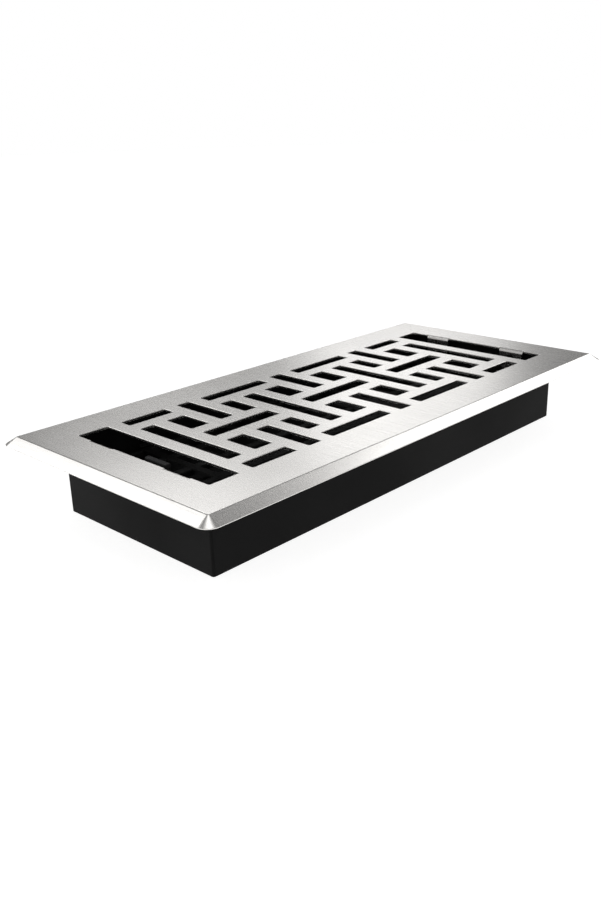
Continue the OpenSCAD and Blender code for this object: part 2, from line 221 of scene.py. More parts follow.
class Finishes(bpy.types.PropertyGroup):
    """Colours and surfaces."""
    steel: colour("Steel", "Colour of the satin nickel plating", (0.80, 0.785, 0.765))
    steel_roughness: share("Steel roughness", "Roughness of the satin plating", 0.27)
    grain: share("Steel grain", "Strength of the fine brushed grain", 0.10)
    box: colour("Box", "Colour of the damper box", (0.0042, 0.0042, 0.0043))
    grid: colour("Grid", "Colour of the grid, blades and link bar", (0.0040, 0.0040, 0.0040))
    lever: colour("Lever", "Colour of the thumb lever", (0.016, 0.016, 0.017))
    plastic_roughness: share("Plastic roughness", "Roughness of the moulded parts", 0.60)
    soft_edge: length("Soft edge", "Rounding of the box's moulded edges", 0.25)


class Studio(bpy.types.PropertyGroup):
    """Camera, floor and light."""
    camera_place: bpy.props.FloatVectorProperty(
        name="Camera place", description="Where the camera stands", size=3, unit="LENGTH",
        subtype="TRANSLATION", default=(0.287937, -0.323703, 0.167017))
    camera_turn: bpy.props.FloatVectorProperty(
        name="Camera turn", description="How the camera is turned", size=3, unit="ROTATION", subtype="EULER",
        default=tuple(math.radians(a) for a in (69.4012, 1.5528, 43.5132)))
    camera_lens: bpy.props.FloatProperty(
        name="Lens", description="Focal length on a 36 mm sensor", default=36.442, unit="CAMERA")
    floor: colour("Floor", "Colour of the studio floor under its lift", (0.45, 0.45, 0.45))
    floor_radius: length("Floor radius", "Radius of the round floor", 4000, high=9000)
    fill: share("Fill", "Level of the studio walls around the object", 0.22, high=2.0)
    floor_lift: share("Floor lift", "How far the floor is lifted to white for the eye and for metal", 0.84)


# Shapes worked out with numpy


def mesh_object(name, points, normals, triangles, quads, attributes=None):
    """New object from arrays of points, triangles and quads, smooth by the point normals or else up to 50 degrees."""
    mesh = bpy.data.meshes.new(name)
    counts = np.concatenate([np.full(len(triangles), 3), np.full(len(quads), 4)]).astype(np.int32)
    corners = np.concatenate([np.ravel(triangles), np.ravel(quads)]).astype(np.int32)
    mesh.vertices.add(len(points))
    mesh.vertices.foreach_set("co", np.ravel(points).astype(np.float32))
    mesh.loops.add(len(corners))
    mesh.loops.foreach_set("vertex_index", corners)
    mesh.polygons.add(len(counts))
    mesh.polygons.foreach_set("loop_start", (np.cumsum(counts) - counts).astype(np.int32))
    mesh.polygons.foreach_set("use_smooth", np.ones(len(counts), dtype=bool))
    mesh.update(calc_edges=True)
    for key, values in (attributes or {}).items():
        mesh.attributes.new(key, "FLOAT", "POINT").data.foreach_set("value", np.ravel(values).astype(np.float32))
    if normals is None:
        mesh.set_sharp_from_angle(angle=math.radians(50))
    else:
        mesh.normals_split_custom_set_from_vertices(normals.astype(np.float32))
    made = bpy.data.objects.new(name, mesh)
    bpy.context.scene.collection.objects.link(made)
    return made


def filleted(corners, radii, steps):
    """Closed path whose corners are circle arcs.

    Each arc's centre lies a radius away from both edges, on the inner side of the turn, and its points are
    centre + turn sign * radius * (cos a, sin a). The unit normal (cos a, sin a) points to the right of the path.
    """
    corners, radii = np.asarray(corners, float), np.asarray(radii, float)
    ahead = np.roll(corners, -1, 0) - corners
    ahead /= np.linalg.norm(ahead, axis=1, keepdims=True)
    behind = np.roll(ahead, 1, 0)
    turn = np.arctan2(behind[:, 0] * ahead[:, 1] - behind[:, 1] * ahead[:, 0], (behind * ahead).sum(1))
    signed = np.sign(turn) * radii
    angle = np.arctan2(-behind[:, 0], behind[:, 1])[:, None] + turn[:, None] * np.linspace(0, 1, steps + 1)
    normal = np.stack([np.cos(angle), np.sin(angle)], -1)
    first = corners - behind * (radii * np.tan(np.abs(turn) / 2))[:, None]
    centre = first - signed[:, None] * normal[:, 0]
    points = centre[:, None] + signed[:, None, None] * normal
    return points.reshape(-1, 2), normal.reshape(-1, 2)


def box_corners(x0, x1, y0, y1):
    """The corners of a rectangle, anticlockwise."""
    return np.array([[x1, y1], [x0, y1], [x0, y0], [x1, y0]])


def arc_profile(radius, start, end, steps, centre):
    """Points centre + radius * (cos a, sin a) and normals (cos a, sin a), for a from start to end in degrees."""
    a = np.radians(np.linspace(start, end, steps + 1))
    normal = np.stack([np.cos(a), np.sin(a)], 1)
    return np.asarray(centre) + radius * normal, normal


def next_in_rings(sizes):
    """For rings laid end to end, the number of each point's follower in its own ring."""
    ends = np.cumsum(sizes)
    follower = np.arange(ends[-1]) + 1
    follower[ends - 1] = ends - sizes
    return follower


def wall_quads(follower, layers, first=0):
    """Quads between neighbouring layers of the same rings, which turn their faces to the rings' left."""
    count = len(follower)
    base = first + np.arange(layers - 1)[:, None] * count
    a, b = base + np.arange(count), base + follower
    return np.stack([a, b, b + count, a + count], -1).reshape(-1, 4)


def fill_between(points, follower, extra_edges):
    """Triangles that fill the sheet between closed rings, by a constrained Delaunay triangulation.

    A triangle is kept where a line from its middle crosses the rings' edges an odd number of times.
    """
    edges = np.concatenate([np.stack([np.arange(len(points)), follower], 1), extra_edges])
    scaled = points / MM
    _, _, faces, origin, _, _ = delaunay_2d_cdt(
        [Vector(p) for p in scaled.tolist()], edges.tolist(), [], 0, 1e-5, True)
    origin = np.array([ids[0] for ids in origin])
    triangles = origin[np.array(faces)]
    middle = scaled[triangles].mean(1)
    a, b = scaled, scaled[follower]
    with np.errstate(divide="ignore", invalid="ignore"):
        level = (middle[:, None, 1] - a[None, :, 1]) / (b[:, 1] - a[:, 1])
        beyond = a[None, :, 0] + level * (b[:, 0] - a[:, 0]) > middle[:, None, 0]
    straddles = (a[None, :, 1] > middle[:, None, 1]) != (b[None, :, 1] > middle[:, None, 1])
    kept = triangles[(straddles & beyond).sum(1) % 2 == 1]
    p = scaled[kept]
    ab, ac = p[:, 1] - p[:, 0], p[:, 2] - p[:, 0]
    clockwise = ab[:, 0] * ac[:, 1] < ab[:, 1] * ac[:, 0]
    return np.where(clockwise[:, None], kept[:, ::-1], kept)


def slot_boxes(p):
    """All plain slots as rows of x0, x1, y0, y1, added up from the middle outwards."""
    mid = p.mid_slot / 2
    outer = p.pattern_half_w
    inner = mid + p.bar
    side = outer - p.side_slot
    across = side - p.bar
    room = p.pattern_half_l - p.window - 7 * p.bar - mid
    narrow = room / (4 + 2 * p.wide_ratio)
    wide = narrow * p.wide_ratio
    steps = [0, mid, p.bar, wide, p.bar, narrow, p.bar, narrow, p.bar, narrow, p.bar, wide, p.bar, narrow]
    y = np.cumsum(steps)
    pairs = np.array([[-across, across, y[4], y[5]], [-across, across, y[12], y[13]], [-mid, mid, y[6], y[11]]])
    fours = np.array([[inner, outer, y[8], y[9]], [inner, across, y[2], y[3]], [inner, across, y[6], y[7]],
                      [inner, across, y[10], y[11]], [side, outer, y[2], y[7]], [side, outer, y[10], y[13]]])
    ones = np.array([[-mid, mid, -y[3], y[3]], [inner, outer, -y[1], y[1]], [-outer, -inner, -y[1], y[1]]])
    mirror_y = lambda rows: rows[:, [0, 1, 3, 2]] * [1, 1, -1, -1]
    mirror_x = lambda rows: rows[:, [1, 0, 2, 3]] * [-1, -1, 1, 1]
    right = np.concatenate([fours, mirror_y(fours)])
    return np.concatenate([ones, pairs, mirror_y(pairs), right, mirror_x(right)])


def split_where(points, normals, flags, levels):
    """Adds points to a closed path where its flagged edges cross the y levels.

    A crossing lies at the share (level - y0) / (y1 - y0) of its edge, and edge number plus share gives its place.
    """
    after = np.roll(points, -1, 0)
    with np.errstate(divide="ignore", invalid="ignore"):
        t = (levels[None] - points[:, 1, None]) / (after[:, 1] - points[:, 1])[:, None]
    edge, level = np.nonzero((t > 1e-6) & (t < 1 - 1e-6) & (flags & np.roll(flags, -1))[:, None])
    t = t[edge, level]
    new = points[edge] + t[:, None] * (after[edge] - points[edge])
    order = np.argsort(np.concatenate([np.arange(len(points)), edge + t]), kind="stable")
    joined = ((points, new), (normals, normals[edge]), (flags, flags[edge]))
    return [np.concatenate(pair)[order] for pair in joined]


class EarBend:
    """The bend that turns an ear down, and the ear's place in the flat blank."""

    def __init__(self, p):
        self.line = p.pattern_half_l - p.ear_inset + p.sheet + p.ear_bend
        self.outer = p.ear_bend + p.sheet
        self.neutral = p.ear_bend + p.sheet / 2
        self.arc = self.neutral * math.pi / 2
        self.straight_from = self.line - self.arc
        self.tip = self.straight_from - (p.ear_drop - self.outer)
        self.hole = self.straight_from - (p.ear_hole_drop - self.outer)

    def fold(self, flat, height, normal, flags):
        """Bends the flagged points: at a distance d past the bend line they turn by the angle d / neutral radius.

        Up to a quarter turn, a point at a height h over the outer face goes to line - (outer + h) * sin angle
        along the grate and (outer + h) * cos angle - outer in height, and past it straight down.
        """
        way = np.where(flat[:, 1] < 0, -1.0, 1.0)
        past = np.where(flags, np.maximum(self.line - np.abs(flat[:, 1]), 0), 0)
        angle = np.minimum(past, self.arc) / self.neutral
        radius = self.outer + height
        down = past - angle * self.neutral
        bent_y = self.line - radius * np.sin(angle)
        y = np.where(past > 0, bent_y, np.abs(flat[:, 1])) * way
        z = np.where(past > 0, radius * np.cos(angle) - self.outer - down, height)
        along, up = normal[:, 1] * way, normal[:, 2]
        turned = np.stack([normal[:, 0], (along * np.cos(angle) - up * np.sin(angle)) * way,
                           along * np.sin(angle) + up * np.cos(angle)], 1)
        return np.stack([flat[:, 0], y, z], 1), turned


def window_path(p, bend, steps):
    """Far end window of the flat blank, anticlockwise, with its two ears left standing in it."""
    h, g, c = p.ear_w / 2, p.ear_relief, p.ear_chamfer
    near, far, half = p.pattern_half_l - p.window, p.pattern_half_l, p.pattern_half_w
    ear = np.array([[h + g, far], [h + g, bend.line], [h, bend.line], [h, bend.tip + c], [h - c, bend.tip],
                    [c - h, bend.tip], [-h, bend.tip + c], [-h, bend.line], [-h - g, bend.line], [-h - g, far]])
    ear_radii = np.array([0.4, 0.2, 0.2, 0.8, 0.8, 0.8, 0.8, 0.2, 0.2, 0.4]) * MM
    ear_flags = np.array([0, 0, 1, 1, 1, 1, 1, 1, 0, 0], bool)
    shift = np.array([p.ear_spacing / 2, 0])
    corners = np.concatenate([[[half, near], [half, far]], ear + shift, ear - shift, [[-half, far], [-half, near]]])
    plain = np.full(2, p.slot_corner)
    radii = np.concatenate([plain, ear_radii, ear_radii, plain])
    flags = np.concatenate([[False, False], ear_flags, ear_flags, [False, False]])
    points, normals = filleted(corners, radii, steps)
    levels = bend.line - bend.arc * np.arange(1, 7) / 6
    return split_where(points, normals, np.repeat(flags, steps + 1), levels)


def rim_profile(p):
    """Section of the rim as [inwards from the outer edge, height over the face], and its normals.

    The face runs into the bevel through an arc, the bevel into the upright edge and that into the foot through
    small ones, and the underside follows at the sheet's thickness, about the same centre at the fold.
    """
    slope = math.degrees(math.atan2(p.bevel_drop, p.bevel_run))
    tan = lambda degrees: math.tan(math.radians(degrees))
    r, e, s = p.fold_radius, p.edge_round, p.burr_round
    fold = (p.bevel_run + r * tan(slope / 2), -r)
    lip = p.bevel_run + p.sheet * tan(slope / 2) - (p.rim_drop - p.sheet) / tan(slope) - s * tan(slope / 2)
    parts = [arc_profile(r, 90, 90 + slope, 6, fold),
             arc_profile(e, 90 + slope, 180, 3, (e, -p.bevel_drop - e * tan(45 - slope / 2))),
             arc_profile(e, 180, 270, 3, (e, e - p.rim_drop)),
             arc_profile(s, 270, 270 + slope, 3, (lip, s - p.rim_drop)),
             arc_profile(r - p.sheet, 90 + slope, 90, 4, fold)]
    points = np.concatenate([part[0] for part in parts])
    normals = np.concatenate([part[1] for part in parts[:-1]] + [-parts[-1][1]])
    wear = np.concatenate([np.sin(np.linspace(0, np.pi, 7)), [0.5, 1, 1, 0.6], [0.6, 0.8, 0.5, 0.2], np.zeros(9)])
    return points, normals, wear


def faceplate_mesh(name, p):
    """The stamped faceplate: a blank with punched slots, whose rim is bevelled and whose ears are bent down.

    Every slot is a ring. Its wall is carried along it as layers of points: ring + v * normal, at a height h,
    where (v, h) runs over the punch's roll, straight down and round the burr. The rim is a section carried
    along the outline in the same way. Both faces of the sheet are filled between the first and last layers.
    """
    steps = 4
    bend = EarBend(p)
    boxes = slot_boxes(p)
    slots = [filleted(box_corners(*row), np.full(4, p.slot_corner), steps) for row in boxes]
    ring_points = [s[0] for s in slots]
    ring_normals = [s[1] for s in slots]
    ring_flags = [np.zeros(len(s[0]), bool) for s in slots]
    turn = np.radians(np.arange(0, 360, 9))
    circle = np.stack([np.cos(turn), np.sin(turn)], 1)
    window = window_path(p, bend, steps)
    for way in (1, -1):
        ring_points.append(window[0] * way)
        ring_normals.append(window[1] * way)
        ring_flags.append(window[2])
        for side in (-1, 1):
            ring_points.append(circle * p.ear_hole / 2 + [side * p.ear_spacing / 2, way * bend.hole])
            ring_normals.append(circle)
            ring_flags.append(np.ones(len(circle), bool))
    base, away, flags = (np.concatenate(rows) for rows in (ring_points, ring_normals, ring_flags))
    holes = len(base)
    roll, roll_n = arc_profile(p.roll, 90, 180, 4, (p.roll, -p.roll))
    burr, burr_n = arc_profile(p.burr_round, 180, 270, 2, (p.burr_round, p.burr_round - p.sheet))
    wall, wall_n = np.concatenate([roll, burr]), np.concatenate([roll_n, burr_n])
    wall_wear = np.array([0, 0.7, 1, 0.9, 0.4, 0.1, 0.3, 0])
    flat = base + wall[:, None, :1] * away
    height = np.broadcast_to(wall[:, 1:], (len(wall), holes))
    upwards = np.broadcast_to(wall_n[:, None, 1:], (len(wall), holes, 1))
    normal = np.concatenate([wall_n[:, None, :1] * away, upwards], 2)

    edge = box_corners(PLATE_LOW[0], PLATE_HIGH[0], PLATE_LOW[1], PLATE_HIGH[1])
    outline, out = filleted(edge, np.full(4, p.rim_corner), 10)
    rim, rim_n, rim_wear = rim_profile(p)
    rim_flat = outline - rim[:, None, :1] * out
    rim_height = np.broadcast_to(rim[:, 1:], (len(rim), len(outline)))
    rim_normal = np.concatenate([-rim_n[:, None, :1] * out,
                                 np.broadcast_to(rim_n[:, None, 1:], (len(rim), len(outline), 1))], 2)

    all_flat = np.concatenate([flat.reshape(-1, 2), rim_flat.reshape(-1, 2)])
    all_height = np.concatenate([height.ravel(), rim_height.ravel()])
    all_normal = np.concatenate([normal.reshape(-1, 3), rim_normal.reshape(-1, 3)])
    all_flags = np.concatenate([np.tile(flags, len(wall)), np.zeros(rim_height.size, bool)])
    points, normals = bend.fold(all_flat, all_height, all_normal, all_flags)
    points[:, 2] += PLATE_HIGH[2]

    hole_next = next_in_rings(np.array([len(r) for r in ring_points]))
    rim_next = next_in_rings(np.array([len(outline)]))
    rim_first = len(wall) * holes
    rim_last = rim_first + (len(rim) - 1) * len(outline)
    follower = np.concatenate([hole_next, holes + rim_next])
    sheet = fill_between(np.concatenate([flat[0], rim_flat[0]]), follower, bend_lines(p, bend, base, flags))
    top = np.where(sheet < holes, sheet, sheet - holes + rim_first)
    below = np.where(sheet < holes, sheet + (len(wall) - 1) * holes, sheet - holes + rim_last)[:, ::-1]
    quads = np.concatenate([wall_quads(hole_next, len(wall)), wall_quads(rim_next, len(rim), rim_first)[:, ::-1]])
    wear = np.concatenate([np.repeat(wall_wear, holes), np.repeat(rim_wear, len(outline))])
    return mesh_object(name, points, normals, np.concatenate([top, below]), quads, {"wear": wear})


def bend_lines(p, bend, base, flags):
    """Edges across each ear, from side to side, where the blank's triangles have to follow the bend."""
    lines = []
    numbers = np.nonzero(flags)[0]
    for way in (1, -1):
        for side in (-1, 1):
            for level in bend.line - bend.arc * np.arange(7) / 6:
                ends = np.array([[side * p.ear_spacing / 2 + s * p.ear_w / 2, way * level] for s in (-1, 1)])
                gap = np.linalg.norm(base[numbers][None] - ends[:, None], axis=2)
                lines.append(numbers[gap.argmin(1)])
    return np.array(lines)


def upright_plate(path, normals, y0, y1, roll):
    """A plate standing across the grate: an outline in x and z carried from y0 to y1, with rolled edges.

    The layers run over a quarter arc, straight across and over a second arc, and both faces are filled.
    """
    one, one_n = arc_profile(roll, 270, 180, 3, (roll, roll))
    two, two_n = arc_profile(roll, 180, 90, 3, (roll, y1 - y0 - roll))
    section, section_n = np.concatenate([one, two]), np.concatenate([one_n, two_n])
    flat = path - section[:, None, :1] * normals
    depth = np.broadcast_to(y0 + section[:, None, 1:], (len(section), len(path), 1))
    points = np.concatenate([flat[..., :1], depth, flat[..., 1:]], 2).reshape(-1, 3)
    side = -section_n[:, None, :1] * normals
    turned = np.concatenate([side[..., :1], np.broadcast_to(section_n[:, None, 1:], depth.shape), side[..., 1:]], 2)
    follower = next_in_rings(np.array([len(path)]))
    face = fill_between(flat[0], follower, np.empty((0, 2), int))
    back = face[:, ::-1] + (len(section) - 1) * len(path)
    return points, turned.reshape(-1, 3), np.concatenate([face, back]), wall_quads(follower, len(section))[:, ::-1]


def grip_tab(low, high, rounding, ribs, groove):
    """The lever's finger tab, as a grid round its section and along its length.

    The section is a superellipse of the fourth power. Along the tab it shrinks towards both ends as the quarter
    of a fourth-power superellipse, and its top sinks by groove * (1 - cos(2 pi * ribs * share)) / 2.
    """
    count, around = ribs * 8 + 1, 40
    share_along = np.concatenate([np.zeros(6), np.linspace(0, 1, count), np.ones(6)])
    taper = (1 - np.linspace(1, 0, 7)[:-1] ** 4) ** 0.25
    scale = np.concatenate([taper, np.ones(count), taper[::-1]])
    end = rounding * np.linspace(0, 1, 7)[:-1]
    middle_x = np.linspace(low[0] + rounding, high[0] - rounding, count)
    x = np.concatenate([low[0] + end, middle_x, high[0] - end[::-1]])
    angle = np.linspace(0, 2 * np.pi, around, endpoint=False)
    power = lambda v: np.sign(v) * np.abs(v) ** 0.5
    half = (high - low)[1:] / 2
    middle = (high + low)[1:] / 2
    inset = np.maximum(scale, 1e-3)[:, None]
    shrink = 1 - (1 - inset) * rounding / half[None]
    y = middle[0] + half[0] * shrink[:, :1] * power(np.cos(angle))
    top = np.clip(power(np.sin(angle)), 0, 1)
    sink = groove * (1 - np.cos(2 * np.pi * ribs * share_along)) / 2
    z = middle[1] + half[1] * shrink[:, 1:] * power(np.sin(angle)) - sink[:, None] * top
    points = np.stack([np.broadcast_to(x[:, None], y.shape), y, z], 2)
    rows = len(x)
    grid = np.arange(rows * around).reshape(rows, around)
    a, b = grid[:-1], np.roll(grid, -1, 1)[:-1]
    c, d = np.roll(grid, -1, 1)[1:], grid[1:]
    quads = np.stack([a, b, c, d], -1).reshape(-1, 4)
    poles = np.array([[low[0], *middle], [high[0], *middle]])
    first, last = rows * around, rows * around + 1
    fans = np.concatenate([np.stack([np.full(around, first), np.roll(grid[0], -1), grid[0]], 1),
                           np.stack([np.full(around, last), grid[-1], np.roll(grid[-1], -1)], 1)])
    return np.concatenate([points.reshape(-1, 3), poles]), fans, quads


# Materials


def node_group(name, inputs, outputs):
    """Empty shader node group with named sockets. Gives the group, its node maker and its two end nodes."""
    group = bpy.data.node_groups.new(name, "ShaderNodeTree")
    for socket, kind, default in inputs:
        made = group.interface.new_socket(socket, in_out="INPUT", socket_type=kind)
        if default is not None:
            made.default_value = default
    for socket, kind in outputs:
        group.interface.new_socket(socket, in_out="OUTPUT", socket_type=kind)
    return group, maker(group), group.nodes.new("NodeGroupInput"), group.nodes.new("NodeGroupOutput")


def maker(tree):
    """A function that adds a node to the tree, sets its properties and sockets and links what is linked."""
    def make(kind, sockets=None, **properties):
        node = tree.nodes.new("ShaderNode" + kind)
        for key, value in properties.items():
            setattr(node, key, value)
        for key, value in (sockets or {}).items():
            if isinstance(value, bpy.types.NodeSocket):
                tree.links.new(value, node.inputs[key])
            else:
                node.inputs[key].default_value = value
        return node
    return make


def ramp(make, value, low, high, out_low=0.0, out_high=1.0):
    """Smooth step of a value from low..high to out_low..out_high."""
    return make("MapRange", {0: value, 1: low, 2: high, 3: out_low, 4: out_high},
                interpolation_type="SMOOTHSTEP").outputs[0]


def math_node(make, operation, first, second=0.5):
    """The result of a maths node."""
    return make("Math", {0: first, 1: second}, operation=operation).outputs[0]


def mix_colour(make, factor, first, second):
    """First colour at factor nought, second at one."""
    return make("Mix", {0: factor, 6: first, 7: second}, data_type="RGBA").outputs[2]


def brushed_grain_group():
    """Fine lines along X over a soft mottle, as the height of the grain and as a slow drift of the finish."""
    group, make, start, end = node_group(
        "brushed_grain", [("Fineness", "NodeSocketFloat", 1.0)],
        [("Lines", "NodeSocketFloat"), ("Drift", "NodeSocketFloat")])
    place = make("TexCoord").outputs["Object"]
    stretched = make("Mapping", {"Vector": place, "Scale": (60.0, 2600.0, 900.0)}).outputs[0]
    lines = make("TexNoise", {"Vector": stretched, "Scale": start.outputs["Fineness"], "Detail": 3.0,
                              "Roughness": 0.6})
    speckle = make("TexNoise", {"Vector": place, "Scale": 1400.0, "Detail": 2.0})
    both = make("Mix", {0: 0.35, 2: lines.outputs[0], 3: speckle.outputs[0]}).outputs[0]
    drift = make("TexNoise", {"Vector": place, "Scale": 22.0, "Detail": 2.0, "Roughness": 0.55})
    group.links.new(both, end.inputs["Lines"])
    group.links.new(drift.outputs[0], end.inputs["Drift"])
    return group


def moulded_grain_group():
    """Spark-eroded mould texture: rounded cells of about 0.4 mm under a finer noise, and slow flow clouds."""
    group, make, start, end = node_group(
        "moulded_grain", [("Cells", "NodeSocketFloat", 2300.0)],
        [("Height", "NodeSocketFloat"), ("Clouds", "NodeSocketFloat")])
    place = make("TexCoord").outputs["Object"]
    cells = make("TexVoronoi", {"Vector": place, "Scale": start.outputs["Cells"]}, feature="SMOOTH_F1")
    fine = make("TexNoise", {"Vector": place, "Scale": 5200.0, "Detail": 2.0})
    both = make("Mix", {0: 0.4, 2: cells.outputs["Distance"], 3: fine.outputs[0]}).outputs[0]
    clouds = make("TexNoise", {"Vector": place, "Scale": 14.0, "Detail": 3.0, "Roughness": 0.5})
    group.links.new(both, end.inputs["Height"])
    group.links.new(clouds.outputs[0], end.inputs["Clouds"])
    return group


def dust_group():
    """Thin dust that lies on faces which look up, broken up by noise."""
    group, make, start, end = node_group(
        "settled_dust", [("Amount", "NodeSocketFloat", 0.1)], [("Mask", "NodeSocketFloat")])
    up = make("SeparateXYZ", {0: make("NewGeometry").outputs["Normal"]}).outputs[2]
    patches = make("TexNoise", {"Vector": make("TexCoord").outputs["Object"], "Scale": 90.0, "Detail": 4.0})
    lying = math_node(make, "MULTIPLY", ramp(make, up, 0.3, 1.0), ramp(make, patches.outputs[0], 0.35, 0.75))
    group.links.new(math_node(make, "MULTIPLY", lying, start.outputs["Amount"]), end.inputs["Mask"])
    return group


def box_edge_group():
    """Rubbed edges of an upright box: one where a point is near two of the box's outer sides at once."""
    group, make, start, end = node_group(
        "rubbed_edges", [("Half Size", "NodeSocketVector", (0.048, 0.1257, 0.01725)),
                         ("Middle", "NodeSocketVector", (0, 0, 0.01725)), ("Width", "NodeSocketFloat", 0.0008)],
        [("Mask", "NodeSocketFloat")])
    place = make("TexCoord").outputs["Object"]
    from_middle = make("VectorMath", {0: place, 1: start.outputs["Middle"]}, operation="SUBTRACT").outputs[0]
    size = make("VectorMath", {0: from_middle}, operation="ABSOLUTE").outputs[0]
    depth = make("VectorMath", {0: start.outputs["Half Size"], 1: size}, operation="SUBTRACT").outputs[0]
    x, y, z = make("SeparateXYZ", {0: depth}).outputs
    low, high = math_node(make, "MINIMUM", x, y), math_node(make, "MAXIMUM", x, y)
    second = math_node(make, "MAXIMUM", low, math_node(make, "MINIMUM", high, z))
    broken = make("TexNoise", {"Vector": place, "Scale": 260.0, "Detail": 3.0}).outputs[0]
    wide = math_node(make, "MULTIPLY", start.outputs["Width"], ramp(make, broken, 0.3, 0.7, 0.3, 1.5))
    near = math_node(make, "DIVIDE", second, wide)
    group.links.new(ramp(make, near, 0.2, 1.0, 1.0, 0.0), end.inputs["Mask"])
    return group


def new_material(name, **constants):
    """New material with a Principled shader whose constant sockets are set on the shader itself."""
    material = bpy.data.materials.new(name)
    material.use_nodes = True
    shader = material.node_tree.nodes["Principled BSDF"]
    for socket, value in constants.items():
        shader.inputs[socket.replace("_", " ")].default_value = value
    return material, maker(material.node_tree), shader


def plug(material, group, **values):
    """Places a node group in a material with its own values."""
    node = material.node_tree.nodes.new("ShaderNodeGroup")
    node.node_tree = bpy.data.node_groups[group]
    for socket, value in values.items():
        node.inputs[socket.replace("_", " ")].default_value = value
    return node.outputs


def steel_material(f):
    """Satin nickel plating: a warm pale metal with a fine brushed grain, buffed brighter where it is worn."""
    material, make, shader = new_material("satin_nickel_plating", Metallic=1.0)
    grain = plug(material, "brushed_grain")
    link = material.node_tree.links.new
    wear = make("Attribute", attribute_name="wear").outputs["Fac"]
    steel = tuple(f.steel)
    dull = tuple(c * 0.965 for c in steel) + (1,)
    pale = tuple(min(c * 1.02, 1.0) for c in steel) + (1,)
    bright = tuple(min(c * 1.1, 0.95) for c in steel) + (1,)
    tone = mix_colour(make, ramp(make, grain["Drift"], 0.35, 0.65), dull, pale)
    link(mix_colour(make, wear, tone, bright), shader.inputs["Base Color"])
    rough = ramp(make, grain["Lines"], 0.3, 0.7, f.steel_roughness - 0.035, f.steel_roughness + 0.035)
    worn = make("MapRange", {0: wear, 1: 0.0, 2: 1.0, 3: 0.0, 4: 0.05}).outputs[0]
    link(math_node(make, "SUBTRACT", rough, worn), shader.inputs["Roughness"])
    bump = make("Bump", {"Strength": f.grain, "Distance": 0.00006, "Height": grain["Lines"]})
    link(bump.outputs[0], shader.inputs["Normal"])
    return material


def plastic_material(name, base, f, specular, dust, edges=None):
    """Black moulded plastic with a spark-eroded grain, flow clouds, rubbed edges and a little dust."""
    material, make, shader = new_material(name, Specular_IOR_Level=specular)
    grain = plug(material, "moulded_grain")
    veil = plug(material, "settled_dust", Amount=dust)["Mask"]
    link = material.node_tree.links.new
    base = tuple(base)
    dark, light = tuple(c * 0.85 for c in base) + (1,), tuple(c * 1.2 for c in base) + (1,)
    tone = mix_colour(make, ramp(make, grain["Clouds"], 0.35, 0.65), dark, light)
    if edges:
        rubbed = plug(material, "rubbed_edges", **edges)["Mask"]
        tone = mix_colour(make, math_node(make, "MULTIPLY", rubbed, 0.7), tone, tuple(c * 2.2 for c in base) + (1,))
    link(mix_colour(make, veil, tone, (0.22, 0.21, 0.19, 1)), shader.inputs["Base Color"])
    rough = ramp(make, grain["Clouds"], 0.3, 0.7, f.plastic_roughness - 0.05, f.plastic_roughness + 0.06)
    link(rough, shader.inputs["Roughness"])
    bump = make("Bump", {"Strength": 0.35, "Distance": 0.00008, "Height": grain["Height"]})
    link(bump.outputs[0], shader.inputs["Normal"])
    return material


def dress(node, material):
    """Gives a CAD node a material in every slot."""
    data = frame["nodes"][node].data
    data.materials.clear()
    data.materials.append(material)


def soften(node, width, angle=40):
    """Rounds a CAD node's sharp edges with live modifiers: its loose triangles are welded, joined and bevelled."""
    made = frame["nodes"][node]
    made.modifiers.new("weld", "WELD").merge_threshold = 1e-6
    flat = made.modifiers.new("flat_faces", "DECIMATE")
    flat.decimate_type, flat.angle_limit = "DISSOLVE", math.radians(1)
    edge = made.modifiers.new("soft_edges", "BEVEL")
    edge.limit_method, edge.angle_limit = "ANGLE", math.radians(angle)
    edge.width, edge.segments, edge.use_clamp_overlap = width, 2, True
    edge.harden_normals = False
    return made


# Operators, one for each piece or group of like pieces, and one for the stage


class FLOORVENT_OT_groups(bpy.types.Operator):
    """Builds the node groups that the materials share"""
    bl_idname = "floor_vent.groups"
    bl_label = "Shared surface effects"

    def execute(self, context):
        for build in (brushed_grain_group, moulded_grain_group, dust_group, box_edge_group):
            build()
        return {"FINISHED"}


class FLOORVENT_OT_faceplate(bpy.types.Operator):
    """Builds the stamped and plated steel faceplate with its slots, bevelled rim and bent ears"""
    bl_idname = "floor_vent.faceplate"
    bl_label = "Faceplate"

    def execute(self, context):
        plate = faceplate_mesh("faceplate_stamping", context.scene.vent_plate)
        plate.data.materials.append(steel_material(context.scene.vent_finish))
        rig.replaces(plate, "faceplate")
        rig.ride(plate, "box")
        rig.slot(plate, "plated_steel")
        return {"FINISHED"}


